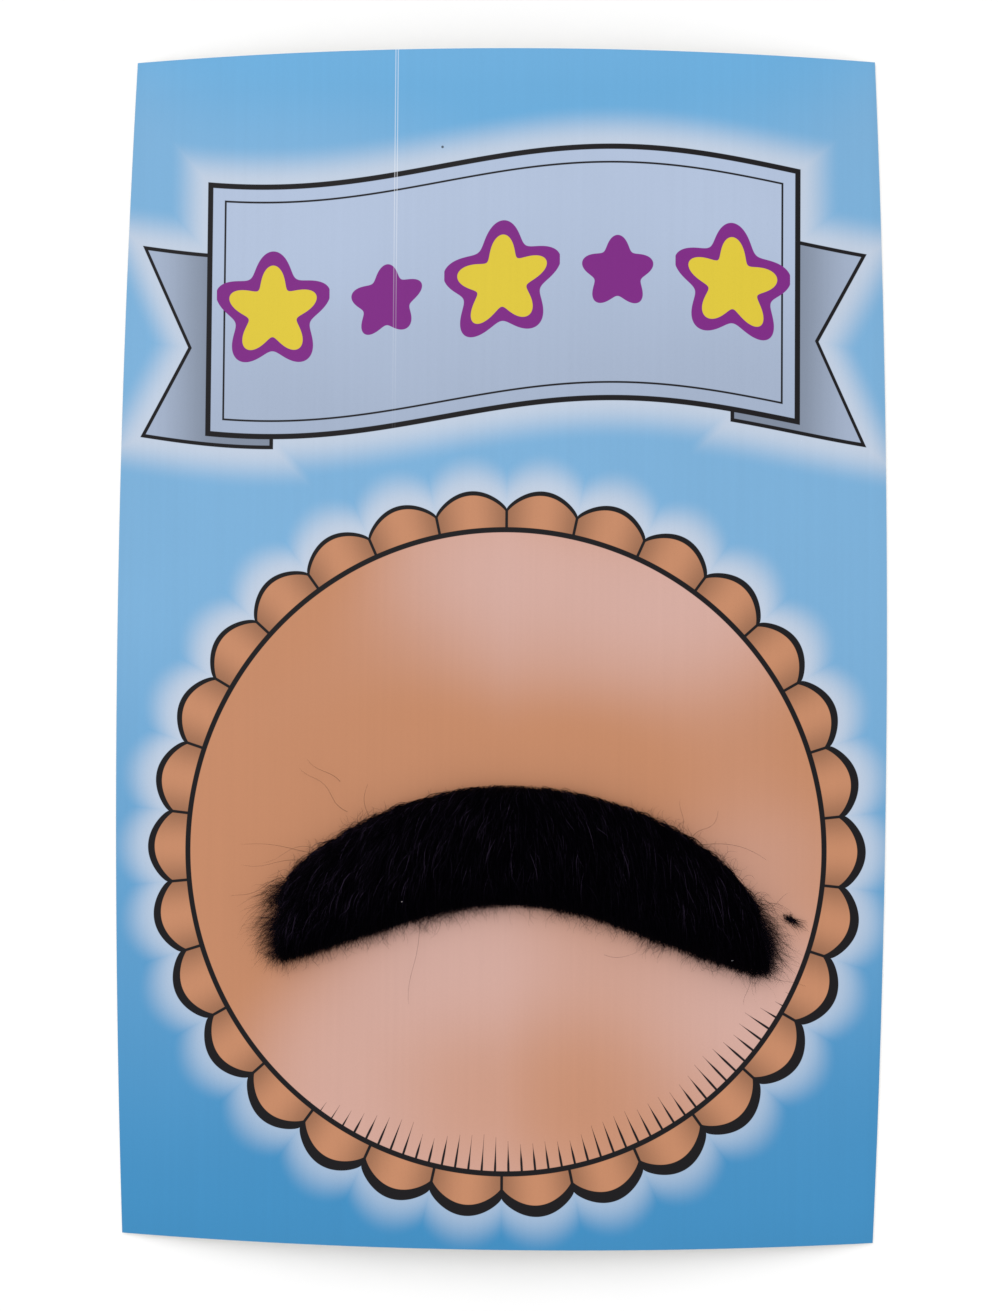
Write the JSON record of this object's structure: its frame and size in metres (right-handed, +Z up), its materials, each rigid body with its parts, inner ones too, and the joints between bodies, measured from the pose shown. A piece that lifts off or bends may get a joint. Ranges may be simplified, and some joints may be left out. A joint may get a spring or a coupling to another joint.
{
  "type": "fake moustache on backing card",
  "caption": "Black long-pile false moustache, a wide drooping crescent, held by tape on a tall, gently bowed printed backing card.",
  "frame": {"origin": "on the surface the card lies on, under the middle of the card", "axes": "+Z up off the surface, out of the printed face; +Y towards the card's top edge; +X to the card's right"},
  "size_m": [0.1782, 0.2742, 0.018],
  "materials": {
    "printed_card": "satin-coated printed board, sky blue with a peach panel, grey-white back",
    "tape": "off-white double-sided tape",
    "black_pile": "black synthetic long pile, combed down and outwards, soft sheen"
  },
  "bodies": {
    "root": {"backing_card": "printed_card", "adhesive_tape": "tape", "moustache_fur": "black_pile"}
  },
  "joints": []
}
